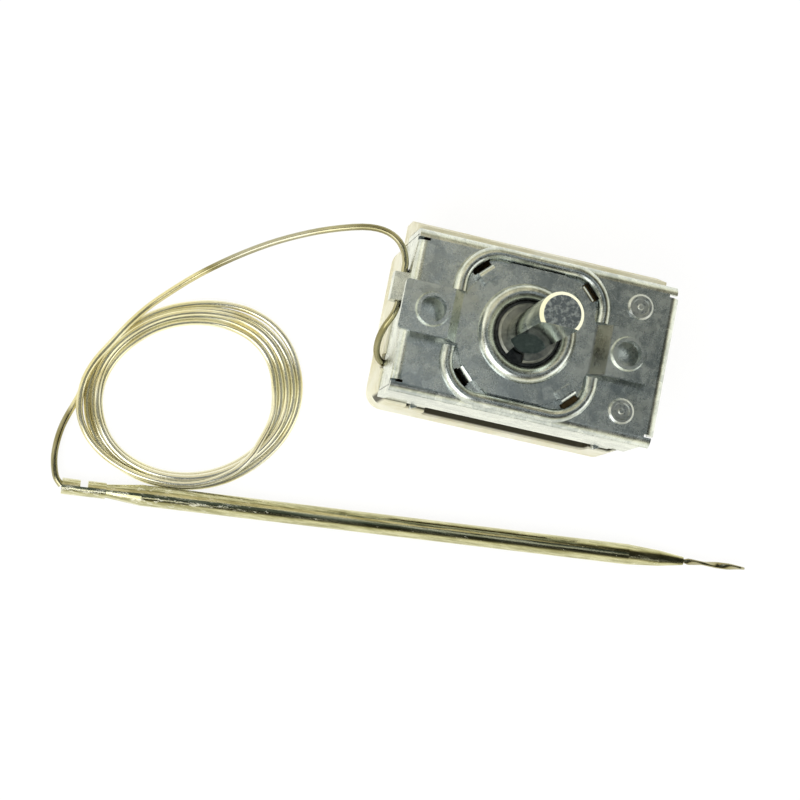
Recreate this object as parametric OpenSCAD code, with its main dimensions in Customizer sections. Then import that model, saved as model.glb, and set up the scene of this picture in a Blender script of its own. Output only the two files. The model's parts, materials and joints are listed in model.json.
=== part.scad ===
// Capillary thermostat: sheet-metal housing on a ceramic base, D-shaped spindle,
// diaphragm and snap contact inside, and a coiled capillary with its sensing bulb.
// Z = 0 is the mounting face (top of the two tapped collars), and the spindle axis is X = Y = 0.
// The long side runs along X, the capillary leaves the left end, and -Y is the front.

/* [Mounting bridge] */
// Distance between the two threaded collars
screw_spacing = 28; // [26:0.5:30]
// Radius of the tapped hole in each ear
screw_hole_r = 1.8; // [1.6:0.05:2]
// Wall of the drawn collar round each tapped hole
screw_collar_wall = 0.45; // [0.35:0.05:0.8]
// Height of the drawn collar above the ear
screw_collar_h = 0.7; // [0.4:0.1:1]
// Sheet thickness of the bridge
bridge_t = 1; // [0.8:0.1:1.2]
// Radius of the round middle of the bridge
disc_r = 10; // [9.8:0.05:10.1]
// Width of the two straps and their ears
ear_w = 7; // [6:0.25:8]
// Height of the ears above the middle of the bridge
ear_rise = 2.4; // [2.2:0.1:3]
// Length that each ear reaches past its hole
ear_reach = 4.3; // [3.5:0.1:5]
// Inner radius of the rolled collar round the spindle
hub_hole_r = 4.6; // [4.5:0.05:4.8]
// Radius of the rolled bead of that collar
hub_bead_r = 1.2; // [1:0.05:1.4]

/* [Housing] */
// Width of the housing over its two long walls
body_w = 23.2; // [22.8:0.1:24.5]
// Distance from the spindle axis to the outer face of the left end wall
left_x = 17.2; // [17:0.1:18]
// Distance from the spindle axis to the right lip
right_x = 20.9; // [20.6:0.1:22]
// Sheet thickness of the housing
shell_t = 0.8; // [0.6:0.05:0.9]
// Outer radius of the folded edges
bend_r = 1.3; // [1.1:0.05:1.5]
// Share of the body's height that the long walls and the end wall cover
wall_share = 0.485; // [0.475:0.005:0.515]
// Height of the lip at the right end
lip_h = 1.9; // [1.6:0.1:2.4]
// Half of the centre-line width of the square bead on the top
ridge_half = 10.3; // [10.2:0.05:10.4]
// Corner radius of that bead's centre line
ridge_corner_r = 5.2; // [4.8:0.1:5.4]
// Height of the bead
ridge_h = 1.3; // [1:0.1:1.4]
// Width of the bead
ridge_w = 1.9; // [1.6:0.1:2]
// Width of each clinch tab that holds the bridge
clinch_w = 2.4; // [2:0.1:3]
// Distance from the spindle axis to the two bracket rivets, along X
rivet_x = 15.4; // [15:0.1:16]
// Half of the distance between the two bracket rivets
rivet_y = 7.5; // [7.2:0.1:7.8]
// Radius of a bracket rivet's head
rivet_head_r = 1.85; // [1.6:0.05:2]
// How far the bracket reaches past its rivets, along X
bracket_reach = 2.6; // [2.2:0.1:2.8]
// How far the bracket reaches past its rivets, along Y
bracket_side = 1.6; // [1.4:0.1:2]
// How far the bracket's leg reaches past each side of the carriage's tail
leg_side = 2.6; // [2:0.1:3]
// Thickness of the bracket
bracket_t = 1; // [0.8:0.1:1.2]

/* [Ceramic base] */
// Overall height from the housing's top to the underside of the base
body_h = 19.8; // [19.4:0.1:20.6]
// How far the base stands out past the left end wall
base_left_proud = 0.3; // [0.1:0.1:0.5]
// Distance from the spindle axis to the right end of the base
base_right_x = 19.5; // [19.2:0.1:20]
// How far the base stands out past the long walls
base_proud = 0.35; // [0.2:0.05:0.5]
// Radius of the base's upright corners
base_corner_r = 2.5; // [2:0.1:3]
// Wall thickness of the base
base_wall = 2.4; // [2.2:0.1:2.5]
// Share of the base's height that the contact chamber takes
chamber_share = 0.57; // [0.55:0.01:0.6]
// Left end of the front window
window_x0 = -9.8; // [-10:0.1:-9]
// Length of the front window
window_len = 24.4; // [23:0.1:24.6]
// Radius of the window's lower corners
window_corner_r = 1.2; // [0.6:0.1:1.6]
// How far the terminal shroud stands out past the back wall
shroud_out = 2.4; // [2:0.1:2.8]
// Depth below the top at which the shroud starts
shroud_top = 3.2; // [2.6:0.1:4]
// Depth below the top at which the shroud ends
shroud_foot = 13.4; // [12.6:0.1:14]
// Share of the base's height that the connector channels take
channel_share = 0.285; // [0.265:0.005:0.3]
// Width of the connector channels
channel_w = 7.4; // [7:0.1:7.8]

/* [Spindle] */
// Spindle radius
spindle_r = 3; // [2.9:0.02:3.04]
// Spindle length above the mounting face
spindle_len = 17.3; // [15:0.1:23]
// Distance over the flat and the round back of the spindle
spindle_over_flat = 4.6; // [4.4:0.1:5]
// Height of the end of the flat above the bridge
flat_end = 2.1; // [1.9:0.1:3]
// Chamfer at the tip
spindle_chamfer = 0.5; // [0.3:0.1:0.8]
// Thickness of the retaining ring
ring_t = 0.8; // [0.6:0.05:0.9]
// Outer radius of the retaining ring
ring_r = 4.2; // [4:0.05:4.4]
// Gap of the retaining ring, in degrees
ring_gap = 35; // [25:1:45]
// Depth of the retaining ring's groove
groove_d = 0.4; // [0.3:0.05:0.5]
// Thickness of the stop washer
stop_t = 0.8; // [0.6:0.05:0.9]
// Width of the stop washer's lug, in degrees
lug_deg = 24; // [20:1:30]
// Turning range of the spindle, in degrees
turn_deg = 290; // [270:5:300]
// Radius of the spindle's threaded end
thread_r = 2.5; // [2.2:0.05:2.5]
// Thread pitch: lift of the carriage for each turn
pitch = 0.8; // [0.7:0.1:0.8]

/* [Diaphragm] */
// Radius of the diaphragm capsule
capsule_r = 9.5; // [9:0.05:9.7]
// Thickness of the capsule
capsule_t = 1.8; // [1.6:0.1:2]
// Radius of the carriage's hub
hub_r = 4; // [3.7:0.1:4.3]
// Height of the carriage's hub above its foot
hub_h = 1.8; // [1.6:0.1:1.9]
// Thickness of the carriage's foot
foot_t = 1.5; // [1.3:0.1:1.6]
// Width of the carriage's guided tail
tail_w = 3; // [2.6:0.1:3.4]
// Radius of the insulating pressure pin
pin_r = 1.2; // [1:0.1:1.4]
// Travel of the diaphragm's button
button_travel = 0.4; // [0.3:0.05:0.45]

/* [Contacts] */
// Thickness of the contact arm
arm_t = 0.3; // [0.2:0.05:0.35]
// Width of the contact arm
arm_w = 5; // [4.6:0.1:5.2]
// Distance from the spindle axis to the arm's pivot line
pivot_x = 11; // [10.8:0.1:11.4]
// Distance from the spindle axis to the contacts
contact_x = 8; // [7.8:0.1:8.4]
// Radius of the silver contacts
contact_r = 1.1; // [0.9:0.05:1.3]
// Width of the tab terminals
tab_w = 6.3; // [6.1:0.1:6.5]
// Thickness of the tab terminals
tab_t = 0.8; // [0.75:0.05:0.85]
// Distance from the spindle axis to the common terminal
common_x = 10; // [9.8:0.1:10.2]
// Radius of the calibration screw
cal_r = 1.5; // [1.3:0.05:1.6]
// Distance from the spindle axis to the calibration screw
cal_x = 2.4; // [2.2:0.1:2.6]

/* [Capillary and bulb] */
// Radius of the capillary
cap_r = 0.475; // [0.45:0.005:0.48]
// Longer half of the coil's outline
coil_a = 16.1; // [15.8:0.1:16.4]
// Shorter half of the coil's outline
coil_b = 13.4; // [13.2:0.1:13.5]
// Width of the coil's bundle of turns at its ends
bundle_w = 3.7; // [3.2:0.1:4]
// Radius of the sensing bulb
bulb_r = 1.5; // [1.45:0.05:1.6]
// Length of the bulb's cylinder
bulb_len = 71.3; // [68:0.1:74]
// Length of the cone between the ferrule and the bulb
neck_len = 5; // [4.6:0.1:5.4]
// Length of the crimped ferrule
ferrule_len = 6.2; // [5.8:0.1:6.4]
// Radius of the ferrule
ferrule_r = 1.15; // [1:0.05:1.25]
// Length of the bulb's far taper
taper_len = 8.6; // [7:0.1:10]
// Length of the pinched seal stem
stem_len = 9.4; // [8:0.1:10]

/* [Hidden] */
$fn = 64;

// Clearances
run_gap = 0.04; // radial, of turning fits
slide_gap = 0.1; // beside sliding and loosely held pieces
face_gap = 0.05; // between end faces that turn or meet in use
cut = 0.2; // how far a cutting body reaches past what it cuts

// Levels, all relative to the top of the housing
ear_top = bridge_t + ear_rise;
plate_z = -(ear_top + screw_collar_h);
base_z = -body_h;
wall_h = body_h * wall_share;
base_h = body_h - wall_h - slide_gap;
rim_z = -wall_h - slide_gap;
chamber_d = base_h * chamber_share;
channel_h = base_h * channel_share;
chamber_z = rim_z - chamber_d;
channel_z = base_z + channel_h;
half_w = body_w / 2;
base_half = half_w + base_proud;
inner_half = half_w - shell_t;

// Bridge: start of the sloped part of a strap, its run, and the ear's end
riser_x = disc_r - 0.3;
riser_run = 1.6;
ear_end = screw_spacing / 2 + ear_reach;
screw_collar_r = screw_hole_r + screw_collar_wall;
hub_mid_r = hub_hole_r + hub_bead_r;
disc_flat = ridge_half - ridge_w / 2 - slide_gap;

// Spindle stack, from the bush down
bush_r = hub_hole_r - face_gap;
bush_top = bridge_t + 0.2;
flange_r = hub_mid_r + 0.2;
ring_z = bush_top + face_gap;
groove_r = spindle_r - groove_d;
washer_z = -shell_t - slide_gap - stop_t;
washer_r = flange_r;
lug_r = washer_r + 2.2;
stop_gap = 0.5;
stop_deg = 360 - turn_deg - lug_deg - 2 * stop_gap;
stop_start = 90 - stop_deg / 2;
lug_start = stop_start - stop_gap - lug_deg;
stop_drop = stop_t + slide_gap + 0.2;

// Carriage, capsule, button and pin
lift = pitch * turn_deg / 360;
carriage_top = washer_z - lift - 0.35;
foot_z = carriage_top - hub_h - foot_t;
thread_end = foot_z + lift + 0.35;
foot_r = hub_r + 2;
leg_x = rivet_x - bracket_reach - 0.3;
tail_end = leg_x + bracket_t + 0.5;
capsule_z = foot_z - capsule_t;
nipple_y = -2;
nipple_z = foot_z - capsule_t / 2;
nipple_end = capsule_r + 1.5;
button_r = 2;
button_t = 0.5;
plate_t = 0.7;
leg_t = bracket_t;

// Contact stack, from the housing's edge down
strip_t = 0.6;
contact_h = 0.55;
strip_top = rim_z - slide_gap;
arm_top = strip_top - strip_t - 2 * contact_h - face_gap;
arm_z = arm_top - arm_t;
pin_tip = arm_top + face_gap;
seat_top = arm_z - slide_gap;
riser_w = 4.2;
riser_y = arm_w / 2 + 0.3;
terminal_z = channel_z - 1.2;
terminal_end = base_half - 0.5;
foot_rivet_x = pivot_x + 1.2;
foot_rivet_r = 0.8;

// Lugs of the long walls beside the window
lug_w = 2.2;
lug_h = 2.4;
lug_places = [window_x0 - lug_w / 2 - 0.3, window_x0 + window_len + lug_w / 2 + 0.3];

// Strain relief strap on the left end wall, where the capillary passes
relief_y = 3.3;
relief_z = -4.05;
relief_w = 4;
relief_open = 0.8;
lead_rim_y = -6.4;
rim_notch = 4.6 * cap_r;
rim_notch_h = 2.7 * cap_r;
plate_notch = base_wall + 1.2;

// Bulb's place on the table, and its direction
table_z = base_z;
bulb_at = [-46.2, -31.5];
bulb_turn = 5.2;
neck_r = 0.95;
stem_w = 1;
stem_t = 0.6;

// Route of the capillary's held loop at the left end, from the capsule's nipple
lead_route = [[-11.3, -2, -6.5], [-12.4, -2.3, -6.6], [-13.6, -3.6, -7.2], [-14.6, -5.2, -8.7],
    [-15.7, -6.3, -9.9], [-17, -6.7, -10.3], [-18.1, -6.3, -9.7], [-18.8, -5.3, -8.4],
    [-19, -3.8, -6.8], [-18.7, -2.2, -5.3], [-18.1, -0.7, -4.4], [-17.8, 0.8, -4.1],
    [-17.8, 2.4, -4.05], [-17.8, 4.2, -4.05], [-17.8, 6, -4.05]];

// Route of the free lead from the end wall down to the coil
tube_route = [[-17.8, 6, -4.05], [-17.9, 7.1, -4], [-18.5, 8.6, -3.9], [-19.8, 10, -4],
    [-21.8, 10.8, -4.5], [-24.6, 10.8, -5.6], [-28.8, 9.8, -7.7], [-32.6, 8.4, -9.6],
    [-36.5, 6.5, -11.4], [-40.8, 3.8, -13.2], [-45.1, 0.5, -14.8], [-48.7, -2.9, -16],
    [-51.7, -6.5, -16.8], [-54, -10.2, -17.3], [-55.4, -13.8, -17.5]];

// Route of the tail from the coil to the ferrule
tail_route = [[-58.4, -19.6, -18.9], [-58.7, -21, -18.9], [-59.2, -23.6, -18.7],
    [-59.6, -26.4, -18.5], [-59.5, -29, -18.35], [-58.9, -31, -18.3], [-57.4, -32.52, -18.3]];

coil_at = [-42.4, -15.8];
coil_turn = 16.4;
coil_layers = 2;

// Places what it is given relative to the housing's top
module at_top() {
    translate([0, 0, plate_z])
        children();
}

// Mirrors what it is given to both long sides
module both_sides() {
    children();
    mirror([0, 1, 0])
        children();
}

// Rectangle with round corners, from its two ends
module round_rect(x0, x1, y0, y1, r) {
    translate([x0 + r, y0])
        square([x1 - x0 - 2 * r, y1 - y0]);
    translate([x0, y0 + r])
        square([x1 - x0, y1 - y0 - 2 * r]);
    for (x = [x0 + r, x1 - r], y = [y0 + r, y1 - r])
        translate([x, y])
            circle(r);
}

// A folded edge along +X from the origin: a quarter of a tube
module fold(len) {
    rotate([90, 0, 90])
        linear_extrude(len)
            intersection() {
                difference() {
                    circle(bend_r);
                    circle(bend_r - shell_t);
                }
                square(bend_r + cut);
            }
}

// Half-round bead's section, standing on the line y = 0
module bead_section(w, h) {
    r = w / 2;
    intersection() {
        union() {
            translate([0, h - r])
                circle(r);
            translate([-r, -shell_t / 2])
                square([w, h - r + shell_t / 2]);
        }
        translate([-w, -shell_t / 2])
            square([2 * w, h + shell_t]);
    }
}

// One side of the square bead: a straight stretch along Y at +X
module ridge_run(from, to) {
    translate([ridge_half, to, 0])
        rotate([90, 0, 0])
            linear_extrude(to - from)
                bead_section(ridge_w, ridge_h);
}

// Bead round the bridge, open where the two straps cross it
module ridge() {
    straight = ridge_half - ridge_corner_r;
    gate = ear_w / 2 + 0.4;
    for (end = [0, 180])
        rotate(end) {
            ridge_run(gate, straight);
            ridge_run(-straight, -gate);
        }
    for (side = [90, 270])
        rotate(side)
            ridge_run(-straight, straight);
    for (corner = [0:3])
        rotate(90 * corner)
            translate([straight, straight, 0])
                rotate_extrude(angle = 90)
                    translate([ridge_corner_r, 0])
                        bead_section(ridge_w, ridge_h);
}

// Clinch tab, cut from the top and folded over the edge of the bridge
module clinch_tab() {
    tab = 0.7;
    reach = 1.1;
    seat = disc_r + face_gap;
    translate([0, clinch_w / 2, 0])
        rotate([90, 0, 0])
            linear_extrude(clinch_w) {
                translate([seat, -shell_t / 2])
                    square([tab, bridge_t + shell_t / 2]);
                translate([seat - reach, bridge_t])
                    square([reach, tab]);
                intersection() {
                    translate([seat, bridge_t])
                        circle(tab);
                    translate([seat, bridge_t])
                        square(tab);
                }
            }
}

// Lug at the foot of a long wall: a neck, and an end that is twisted to lock
module wall_lug(x) {
    twist = 25;
    neck = 1.1;
    translate([x - lug_w / 2, -half_w, -wall_h - neck])
        cube([lug_w, shell_t, neck + cut]);
    translate([x, -half_w + shell_t / 2, -wall_h - lug_h])
        rotate(twist)
            translate([-lug_w / 2, -shell_t / 2, 0])
                cube([lug_w, shell_t, lug_h - neck + 0.05]);
}

// Long wall at the front, with its folded edge and two lugs
module long_wall() {
    fold_x0 = -left_x;
    fold_x1 = right_x - 0.5;
    translate([fold_x1, -half_w + bend_r, -bend_r])
        rotate([0, 0, 180])
            fold(fold_x1 - fold_x0);
    translate([-left_x, -half_w, -wall_h])
        cube([left_x + base_right_x - 0.2, shell_t, wall_h - bend_r]);
    for (x = lug_places)
        wall_lug(x);
}

// Raised strap of the left end wall, over the capillary
module relief_strap() {
    gap = cap_r * 2 + 2 * slide_gap;
    out = left_x + gap;
    half_gap = cap_r + 0.15;
    translate([0, relief_y + relief_w / 2, relief_z])
        rotate([90, 0, 0])
            linear_extrude(relief_w)
                polygon([[-left_x, half_gap + 1.1], [-out - shell_t, half_gap + 0.4],
                    [-out - shell_t, -half_gap - 0.4], [-left_x, -half_gap - 1.1],
                    [-left_x + shell_t, -half_gap - 1.1], [-left_x + shell_t, -half_gap - 0.6],
                    [-left_x, -half_gap - 0.3], [-out, -half_gap + 0.1], [-out, half_gap - 0.1],
                    [-left_x, half_gap + 0.3], [-left_x + shell_t, half_gap + 0.6],
                    [-left_x + shell_t, half_gap + 1.1]]);
}

// Fixed stop under the top, which the washer's lug runs against
module fixed_stop() {
    translate([0, 0, -shell_t - stop_drop])
        rotate([0, 0, stop_start])
            rotate_extrude(angle = stop_deg)
                translate([washer_r + 2 * slide_gap, 0])
                    square([lug_r - washer_r, stop_drop + shell_t / 2]);
}

module housing_shell() {
    end_half = inner_half - slide_gap;
    window_h = 2 * cap_r + 0.9;
    slit = 0.4;
    slit_y = half_w - bend_r;
    slit_len = bend_r + 0.5;
    fold_half = slit_y - slit;
    color("lightsteelblue")
        at_top() {
            difference() {
                union() {
                    translate([-left_x + bend_r, -half_w + bend_r, -shell_t])
                        cube([left_x + right_x - 2 * bend_r, body_w - 2 * bend_r, shell_t]);
                    both_sides()
                        long_wall();
                    translate([-left_x + bend_r, -fold_half, -bend_r])
                        rotate([0, 0, 90])
                            fold(2 * fold_half);
                    translate([-left_x, -end_half, -wall_h])
                        cube([shell_t, 2 * end_half, wall_h - bend_r]);
                    translate([right_x - bend_r, fold_half, -bend_r])
                        rotate([0, 0, -90])
                            fold(2 * fold_half);
                    translate([right_x - shell_t, -fold_half, -lip_h])
                        cube([shell_t, 2 * fold_half, lip_h - bend_r]);
                    ridge();
                    fixed_stop();
                }
                translate([0, 0, -shell_t - cut])
                    cylinder(r = flange_r + slide_gap, h = shell_t + 2 * cut);
                for (corner = [45:90:315])
                    rotate(corner)
                        translate([disc_r + face_gap + 0.7, -clinch_w / 2 - 0.2, -shell_t - cut])
                            cube([0.8, clinch_w + 0.4, shell_t + ridge_h + 2 * cut]);
                for (x = [-left_x - cut, right_x + cut - slit_len], y = [-slit_y, fold_half])
                    translate([x, y, -bend_r])
                        cube([slit_len, slit, bend_r + cut]);
                for (y = [-rivet_y, rivet_y])
                    translate([rivet_x, y, -shell_t - cut])
                        cylinder(r = 1.25, h = shell_t + 2 * cut);
                translate([-left_x - cut, relief_y - relief_w / 2 - relief_open, relief_z - window_h / 2])
                    cube([shell_t + 2 * cut, relief_w + 2 * relief_open, window_h]);
            }
            relief_strap();
            for (corner = [45:90:315])
                rotate(corner)
                    clinch_tab();
        }
}

// Strap and ear on the +X side, cut from one bent strip
module ear() {
    shift = bridge_t * tan(atan2(ear_rise, riser_run) / 2);
    corner_r = 0.4;
    difference() {
        union() {
            intersection() {
                translate([0, ear_w / 2, 0])
                    rotate([90, 0, 0])
                        linear_extrude(ear_w)
                            polygon([[disc_r - 3, 0], [riser_x + shift, 0],
                                [riser_x + riser_run + shift, ear_rise], [ear_end, ear_rise],
                                [ear_end, ear_top], [riser_x + riser_run, ear_top],
                                [riser_x, bridge_t], [disc_r - 3, bridge_t]]);
                linear_extrude(ear_top + cut)
                    round_rect(disc_r - 4, ear_end, -ear_w / 2, ear_w / 2, corner_r);
            }
            translate([screw_spacing / 2, 0, ear_top - cut])
                cylinder(r = screw_collar_r, h = screw_collar_h + cut);
            translate([screw_spacing / 2, 0, ear_top])
                cylinder(r1 = screw_collar_r + 0.2, r2 = screw_collar_r, h = screw_collar_h * 0.5);
        }
        translate([screw_spacing / 2, 0, -cut])
            cylinder(r = screw_hole_r, h = ear_top + screw_collar_h + 2 * cut);
    }
}

module mounting_bridge() {
    color("lightslategray")
        at_top() {
            difference() {
                union() {
                    intersection() {
                        cylinder(r = disc_r, h = bridge_t);
                        translate([-disc_flat, -disc_flat, 0])
                            cube([2 * disc_flat, 2 * disc_flat, bridge_t]);
                    }
                    rotate_extrude()
                        translate([hub_mid_r, bridge_t])
                            circle(hub_bead_r);
                }
                translate([0, 0, -hub_bead_r - cut])
                    cylinder(r = disc_r + cut, h = hub_bead_r + cut);
                translate([0, 0, -cut])
                    cylinder(r = hub_hole_r, h = bridge_t + hub_bead_r + 2 * cut);
            }
            ear();
            mirror([1, 0, 0])
                ear();
        }
}

// Terminal shroud along the back of the base
module shroud() {
    x0 = -left_x;
    x1 = base_right_x - 0.2;
    wall_y = half_w + slide_gap;
    out_y = half_w + shroud_out;
    translate([x0, 0, 0])
        rotate([90, 0, 90])
            linear_extrude(x1 - x0)
                polygon([[wall_y, -shroud_top], [wall_y + 0.8, -shroud_top], [out_y, -shroud_top - 5.8],
                    [out_y, -shroud_foot], [base_half - 1, -shroud_foot], [base_half - 1, rim_z],
                    [wall_y, rim_z]]);
}

// Section of the front window, in X and Z
module window_section() {
    x1 = window_x0 + window_len;
    floor_z = chamber_z + 0.1;
    round_rect(window_x0, x1, floor_z, rim_z + 2 * window_corner_r, window_corner_r);
}

module ceramic_base() {
    x0 = -left_x - base_left_proud;
    pocket_w = lug_w + 1.2;
    pocket_y = base_wall - 0.7;
    color("cornsilk")
        at_top()
            difference() {
                union() {
                    translate([0, 0, base_z])
                        linear_extrude(rim_z - base_z)
                            round_rect(x0, base_right_x, -base_half, base_half, base_corner_r);
                    shroud();
                }
                translate([0, 0, chamber_z])
                    linear_extrude(chamber_d + cut)
                        round_rect(x0 + base_wall, base_right_x - base_wall, -base_half + base_wall,
                            base_half - base_wall, 1.2);
                translate([0, -base_half + base_wall + cut, 0])
                    rotate([90, 0, 0])
                        linear_extrude(base_wall + 2 * cut)
                            window_section();
                both_sides()
                    for (x = lug_places)
                        translate([x - pocket_w / 2, -base_half - cut, -wall_h - lug_h - 0.2])
                            cube([pocket_w, pocket_y + cut, lug_h + 0.2]);
                for (x = [-contact_x, common_x])
                    translate([x - channel_w / 2, 1.6, base_z - cut])
                        cube([channel_w, base_half, channel_h + cut]);
                for (x = [-contact_x, common_x])
                    translate([x - riser_w / 2 - slide_gap, riser_y - slide_gap, channel_z - cut])
                        cube([riser_w + 2 * slide_gap, tab_t + 2 * slide_gap, chamber_z - channel_z + 2 * cut]);
                translate([cal_x, 0, base_z - cut])
                    cylinder(r = cal_r + face_gap, h = body_h);
                translate([cal_x, 0, base_z - cut])
                    cylinder(r = cal_r + 1.5, h = 2.2 + cut);
                translate([x0 - cut, lead_rim_y - rim_notch / 2, rim_z - rim_notch_h])
                    cube([base_wall + 2 * cut, rim_notch, rim_notch_h + cut]);
            }
}

module spindle_bush() {
    color("goldenrod")
        at_top()
            difference() {
                union() {
                    cylinder(r = bush_r, h = bush_top);
                    translate([0, 0, -shell_t])
                        cylinder(r = flange_r, h = shell_t);
                }
                translate([0, 0, -shell_t - cut])
                    cylinder(r = spindle_r + run_gap, h = shell_t + bush_top + 2 * cut);
            }
}

// Bracket under the top, whose slotted leg keeps the carriage from turning
module guide_bracket() {
    plate_len = rivet_x + bracket_reach - leg_x;
    plate_half = rivet_y + bracket_side;
    leg_half = tail_w / 2 + leg_side;
    leg_foot = foot_z - 1.2;
    color("silver")
        at_top()
            difference() {
                union() {
                    translate([leg_x, -plate_half, -shell_t - bracket_t])
                        cube([plate_len, 2 * plate_half, bracket_t]);
                    translate([leg_x, -leg_half, leg_foot])
                        cube([leg_t, 2 * leg_half, -shell_t - leg_foot]);
                }
                translate([leg_x - cut, -tail_w / 2 - slide_gap, foot_z - slide_gap])
                    cube([leg_t + 2 * cut, tail_w + 2 * slide_gap, foot_t + lift + 2 * slide_gap + 0.2]);
                for (y = [-rivet_y, rivet_y])
                    translate([rivet_x, y, -shell_t - bracket_t - cut])
                        cylinder(r = 1.25, h = bracket_t + 2 * cut);
            }
}

// Semi-tubular rivets: a dished round head above, and a spread foot below
module guide_rivets() {
    head_h = 0.45;
    color("gainsboro")
        at_top()
            for (y = [-rivet_y, rivet_y])
                translate([rivet_x, y, 0]) {
                    translate([0, 0, -shell_t - bracket_t])
                        cylinder(r = 1.2, h = shell_t + bracket_t);
                    difference() {
                        union() {
                            cylinder(r = rivet_head_r, h = head_h * 0.5);
                            translate([0, 0, head_h * 0.5])
                                cylinder(r1 = rivet_head_r, r2 = rivet_head_r - 0.3, h = head_h * 0.5);
                        }
                        translate([0, 0, head_h * 0.55])
                            cylinder(r1 = rivet_head_r - 0.75, r2 = rivet_head_r - 0.5, h = head_h);
                    }
                    translate([0, 0, head_h * 0.5])
                        cylinder(r1 = 0.5, r2 = 0.3, h = head_h * 0.4);
                    translate([0, 0, -shell_t - bracket_t - 0.4])
                        cylinder(r = rivet_head_r - 0.2, h = 0.4);
                }
}

// Insulating plate between the diaphragm and the contacts, lying on the base's rim
module insulating_plate() {
    x0 = -left_x + shell_t + 0.2;
    x1 = base_right_x - 1.2;
    edge = inner_half - slide_gap;
    color("wheat")
        at_top()
            difference() {
                translate([0, 0, rim_z])
                    linear_extrude(plate_t)
                        round_rect(x0, x1, -edge, edge, 0.8);
                translate([0, 0, rim_z - cut])
                    cylinder(r = pin_r + slide_gap, h = plate_t + 2 * cut);
                translate([x0 - cut, lead_rim_y - 4 * cap_r, rim_z - cut])
                    cube([plate_notch, 8 * cap_r, plate_t + 2 * cut]);
            }
}

// A tab terminal: the tab in its channel, and the riser through the base's floor
module terminal(x, top) {
    translate([x - tab_w / 2, riser_y, terminal_z - tab_t])
        cube([tab_w, terminal_end - riser_y - 1.4, tab_t]);
    translate([x, terminal_end - 1.4, terminal_z - tab_t])
        linear_extrude(tab_t)
            polygon([[-tab_w / 2, 0], [tab_w / 2, 0], [tab_w / 2 - 1.2, 1.4], [-tab_w / 2 + 1.2, 1.4]]);
    translate([x - riser_w / 2, riser_y, terminal_z - tab_t])
        cube([riser_w, tab_t, top - terminal_z + tab_t]);
}

module fixed_terminal() {
    color("khaki")
        at_top()
            difference() {
                union() {
                    terminal(-contact_x, strip_top);
                    translate([-contact_x - riser_w / 2, -arm_w / 2, strip_top - strip_t])
                        cube([riser_w, arm_w / 2 + riser_y + tab_t, strip_t]);
                }
                translate([-contact_x, 0, strip_top - strip_t - cut])
                    cylinder(r = 0.6, h = strip_t + 2 * cut);
                translate([-contact_x, terminal_end - 3, terminal_z - tab_t - cut])
                    cylinder(r = 0.8, h = tab_t + 2 * cut);
            }
}

module fixed_contact() {
    color("silver")
        at_top()
            translate([-contact_x, 0, strip_top - strip_t - contact_h]) {
                cylinder(r1 = contact_r - 0.2, r2 = contact_r, h = contact_h * 0.4);
                translate([0, 0, contact_h * 0.4])
                    cylinder(r = contact_r, h = contact_h * 0.6);
                translate([0, 0, contact_h])
                    cylinder(r = 0.6, h = strip_t);
            }
}

module common_terminal() {
    seat_x0 = pivot_x - 0.8;
    seat_x1 = foot_rivet_x + 1.8;
    color("khaki")
        at_top()
            difference() {
                union() {
                    terminal(common_x, seat_top);
                    translate([seat_x0, -arm_w / 2, seat_top - strip_t])
                        cube([seat_x1 - seat_x0, arm_w / 2 + riser_y + tab_t, strip_t]);
                }
                translate([foot_rivet_x, 0, seat_top - strip_t - cut])
                    cylinder(r = foot_rivet_r, h = strip_t + 2 * cut);
                translate([common_x, terminal_end - 3, terminal_z - tab_t - cut])
                    cylinder(r = 0.8, h = tab_t + 2 * cut);
            }
}

// Rivet that holds the arm's foot loosely on its seat
module terminal_rivets() {
    color("gainsboro")
        at_top()
            translate([foot_rivet_x, 0, 0]) {
                translate([0, 0, seat_top - strip_t])
                    cylinder(r = foot_rivet_r, h = arm_top - seat_top + strip_t + slide_gap);
                translate([0, 0, arm_top + slide_gap])
                    cylinder(r1 = 1.5, r2 = 1.1, h = 0.5);
                translate([0, 0, seat_top - strip_t - 0.5])
                    cylinder(r = 1.3, h = 0.5);
            }
}

// Slotted screw in the floor, under the contact arm
module calibration_screw() {
    head_h = 1.4;
    shank_top = arm_z - button_travel - 0.1;
    head_z = base_z + 2.2 - head_h;
    color("gold")
        at_top()
            difference() {
                translate([cal_x, 0, head_z]) {
                    cylinder(r = cal_r + 1.1, h = head_h);
                    cylinder(r = cal_r, h = shank_top - head_z);
                }
                translate([cal_x - 3, -0.3, head_z - cut])
                    cube([6, 0.6, 0.6 + cut]);
            }
}

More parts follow.
